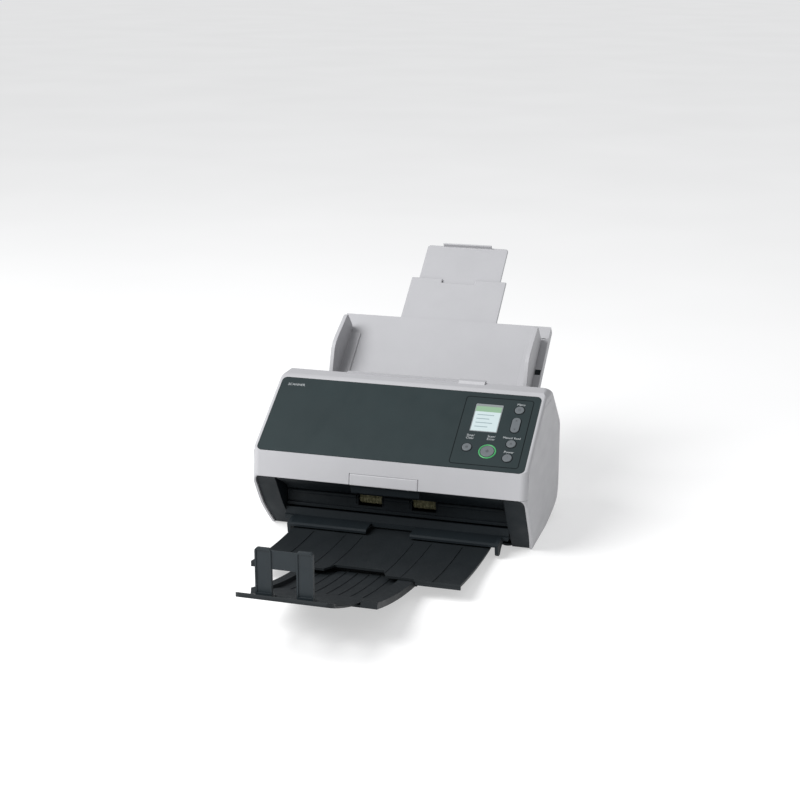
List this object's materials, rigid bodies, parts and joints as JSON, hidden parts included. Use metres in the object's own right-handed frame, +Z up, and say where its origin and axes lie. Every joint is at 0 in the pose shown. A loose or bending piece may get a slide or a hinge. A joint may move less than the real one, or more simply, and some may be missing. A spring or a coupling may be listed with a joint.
{
  "type": "sheet fed document scanner",
  "caption": "Desktop sheet fed document scanner with hinged feeder cover, control panel, sloped paper chute with side guides, and a curved telescopic output stacker",
  "frame": {"origin": "middle of the bounding box in X and Y, at the height of the table under the feet", "axes": "+X to the right seen from the front, -Y the front where paper comes out, +Z up"},
  "size_m": [0.3, 0.6402, 0.2693],
  "materials": {
    "light_shell": "fine matt moulded",
    "dark_panel": "fine grained, slightly satin",
    "black_frame": "matt moulded",
    "tray_plastic": "fine grained matt",
    "stopper_plastic": "satin moulded",
    "button_plastic": "satin",
    "gear_plastic": "smooth",
    "black_rubber": "matt",
    "khaki_rubber": "ribbed matt",
    "steel": "ground",
    "scan_glass": "polished",
    "screen": "satin display cover",
    "circuit_board": "solder mask"
  },
  "bodies": {
    "chassis": {"floor_pan": "black_frame", "left_side_frame": "black_frame", "right_side_frame": "black_frame", "left_side_cover": "light_shell", "right_side_cover": "light_shell", "rear_cover": "light_shell", "mid_plate": "black_frame", "stacker_shelf": "black_frame", "lower_paper_guide": "black_frame", "lower_scan_glass": "scan_glass", "lower_image_sensor": "black_frame", "main_board": "circuit_board", "usb_port": "steel", "power_inlet": "black_frame", "drive_motor": "steel", "front_left_foot": "black_rubber", "front_right_foot": "black_rubber", "rear_left_foot": "black_rubber", "rear_right_foot": "black_rubber", "left_hinge_pin": "steel", "right_hinge_pin": "steel", "paper_chute": "light_shell"},
    "feeder_cover": {"adf_cover": "light_shell", "front_panel": "dark_panel", "control_bezel": "dark_panel", "display": "screen", "control_board": "circuit_board", "upper_paper_guide": "black_frame", "upper_scan_glass": "scan_glass", "upper_image_sensor": "black_frame"},
    "latch": {"cover_latch": "light_shell"},
    "brake_roller": {"brake_shaft": "steel", "brake_tyre": "khaki_rubber"},
    "pick_roller": {"pick_shaft": "steel", "pick_tyre": "black_rubber", "pick_gear": "gear_plastic"},
    "feed_roller": {"feed_shaft": "steel", "feed_tyre": "black_rubber", "feed_gear": "gear_plastic"},
    "eject_roller": {"eject_shaft": "steel", "left_eject_tyre": "khaki_rubber", "right_eject_tyre": "khaki_rubber", "eject_gear": "gear_plastic"},
    "drive_pinion": {"motor_pinion": "gear_plastic"},
    "idler": {"idler_gear": "gear_plastic"},
    "menu_key": {"menu_button": "button_plastic"},
    "feed_key": {"feed_button": "button_plastic"},
    "power_key": {"power_button": "button_plastic"},
    "stop_key": {"stop_button": "button_plastic"},
    "scan_key": {"scan_button": "button_plastic"},
    "rocker": {"rocker_button": "button_plastic"},
    "left_guide": {"left_side_guide": "light_shell"},
    "right_guide": {"right_side_guide": "light_shell"},
    "guide_gear": {"guide_pinion": "gear_plastic"},
    "chute_stage_1": {"chute_extension_1": "light_shell"},
    "chute_stage_2": {"chute_extension_2": "light_shell"},
    "tray": {"stacker_tray": "tray_plastic"},
    "stage_1": {"stacker_extension_1": "tray_plastic"},
    "stage_2": {"stacker_extension_2": "tray_plastic"},
    "stopper": {"stacker_stopper": "stopper_plastic"}
  },
  "joints": [
    {"name": "cover_lift", "type": "hinge", "parent": "chassis", "child": "feeder_cover", "pos_m": [0, 0.104, 0.1502], "axis": [-1, 0, 0], "range_deg": [0, 55]},
    {"name": "latch_pull", "type": "hinge", "parent": "feeder_cover", "child": "latch", "pos_m": [0, -0.0224, 0.0839], "axis": [-1, 0, 0], "range_deg": [0, 15], "stiffness_Nm_per_rad": 0.05},
    {"name": "brake_spin", "type": "hinge", "parent": "feeder_cover", "child": "brake_roller", "pos_m": [0, 0.07403, 0.09167], "axis": [1, 0, 0], "continuous": true},
    {"name": "pinion_spin", "type": "hinge", "parent": "chassis", "child": "drive_pinion", "pos_m": [0, 0.08718, 0.05237], "axis": [1, 0, 0], "continuous": true},
    {"name": "pick_spin", "type": "hinge", "parent": "chassis", "child": "pick_roller", "pos_m": [0, 0.09259, 0.07902], "axis": [1, 0, 0], "continuous": true},
    {"name": "feed_spin", "type": "hinge", "parent": "chassis", "child": "feed_roller", "pos_m": [0, 0.06902, 0.06836], "axis": [1, 0, 0], "continuous": true},
    {"name": "eject_spin", "type": "hinge", "parent": "chassis", "child": "eject_roller", "pos_m": [0, 0.02702, 0.04312], "axis": [1, 0, 0], "continuous": true},
    {"name": "idler_spin", "type": "hinge", "parent": "chassis", "child": "idler", "pos_m": [0, 0.04639, 0.05476], "axis": [1, 0, 0], "continuous": true},
    {"name": "menu_press", "type": "slide", "parent": "feeder_cover", "child": "menu_key", "axis": [0, 0.5446, -0.8387], "range_m": [0, 0.001], "stiffness_N_per_m": 200},
    {"name": "feed_press", "type": "slide", "parent": "feeder_cover", "child": "feed_key", "axis": [0, 0.5446, -0.8387], "range_m": [0, 0.001], "stiffness_N_per_m": 200},
    {"name": "power_press", "type": "slide", "parent": "feeder_cover", "child": "power_key", "axis": [0, 0.5446, -0.8387], "range_m": [0, 0.001], "stiffness_N_per_m": 200},
    {"name": "stop_press", "type": "slide", "parent": "feeder_cover", "child": "stop_key", "axis": [0, 0.5446, -0.8387], "range_m": [0, 0.001], "stiffness_N_per_m": 200},
    {"name": "scan_press", "type": "slide", "parent": "feeder_cover", "child": "scan_key", "axis": [0, 0.5446, -0.8387], "range_m": [0, 0.001], "stiffness_N_per_m": 200},
    {"name": "rocker_tilt", "type": "hinge", "parent": "feeder_cover", "child": "rocker", "pos_m": [0.1248, 0.0325, 0.135], "axis": [1, 0, 0], "range_deg": [-4, 4], "stiffness_Nm_per_rad": 0.02},
    {"name": "right_guide_slide", "type": "slide", "parent": "chassis", "child": "right_guide", "axis": [-1, 0, 0], "range_m": [0, 0.08]},
    {"name": "left_guide_slide", "type": "slide", "parent": "chassis", "child": "left_guide", "axis": [1, 0, 0], "range_m": [0, 0.08]},
    {"name": "guide_gear_spin", "type": "hinge", "parent": "chassis", "child": "guide_gear", "pos_m": [0, 0.14533, 0.13411], "axis": [0, -0.6266, 0.7793], "range_deg": [-800, 800]},
    {"name": "chute_stage_1_slide", "type": "slide", "parent": "chassis", "child": "chute_stage_1", "axis": [0, -0.7793, -0.6266], "range_m": [0, 0.065]},
    {"name": "chute_stage_2_slide", "type": "slide", "parent": "chute_stage_1", "child": "chute_stage_2", "axis": [0, -0.7793, -0.6266], "range_m": [0, 0.05]},
    {"name": "tray_slide", "type": "hinge", "parent": "chassis", "child": "tray", "pos_m": [0, -0.0171, 0.768], "axis": [1, 0, 0], "range_deg": [0, 8.9]},
    {"name": "stage_1_slide", "type": "hinge", "parent": "tray", "child": "stage_1", "pos_m": [0, -0.0171, 0.768], "axis": [1, 0, 0], "range_deg": [0, 8.7]},
    {"name": "stage_2_slide", "type": "hinge", "parent": "stage_1", "child": "stage_2", "pos_m": [0, -0.0171, 0.768], "axis": [1, 0, 0], "range_deg": [0, 4.8]},
    {"name": "stopper_fold", "type": "hinge", "parent": "stage_2", "child": "stopper", "pos_m": [0, -0.31304, 0.06668], "axis": [-1, 0, 0], "range_deg": [0, 111]}
  ],
  "couplings": [
    {"joint": "pick_spin", "follows": "pinion_spin", "ratio": -0.5},
    {"joint": "feed_spin", "follows": "pinion_spin", "ratio": -0.6},
    {"joint": "idler_spin", "follows": "pinion_spin", "ratio": 0.8},
    {"joint": "eject_spin", "follows": "pinion_spin", "ratio": -0.8},
    {"joint": "left_guide_slide", "follows": "right_guide_slide", "ratio": 1},
    {"joint": "guide_gear_spin", "follows": "right_guide_slide", "rad_per_m": 166.67}
  ]
}
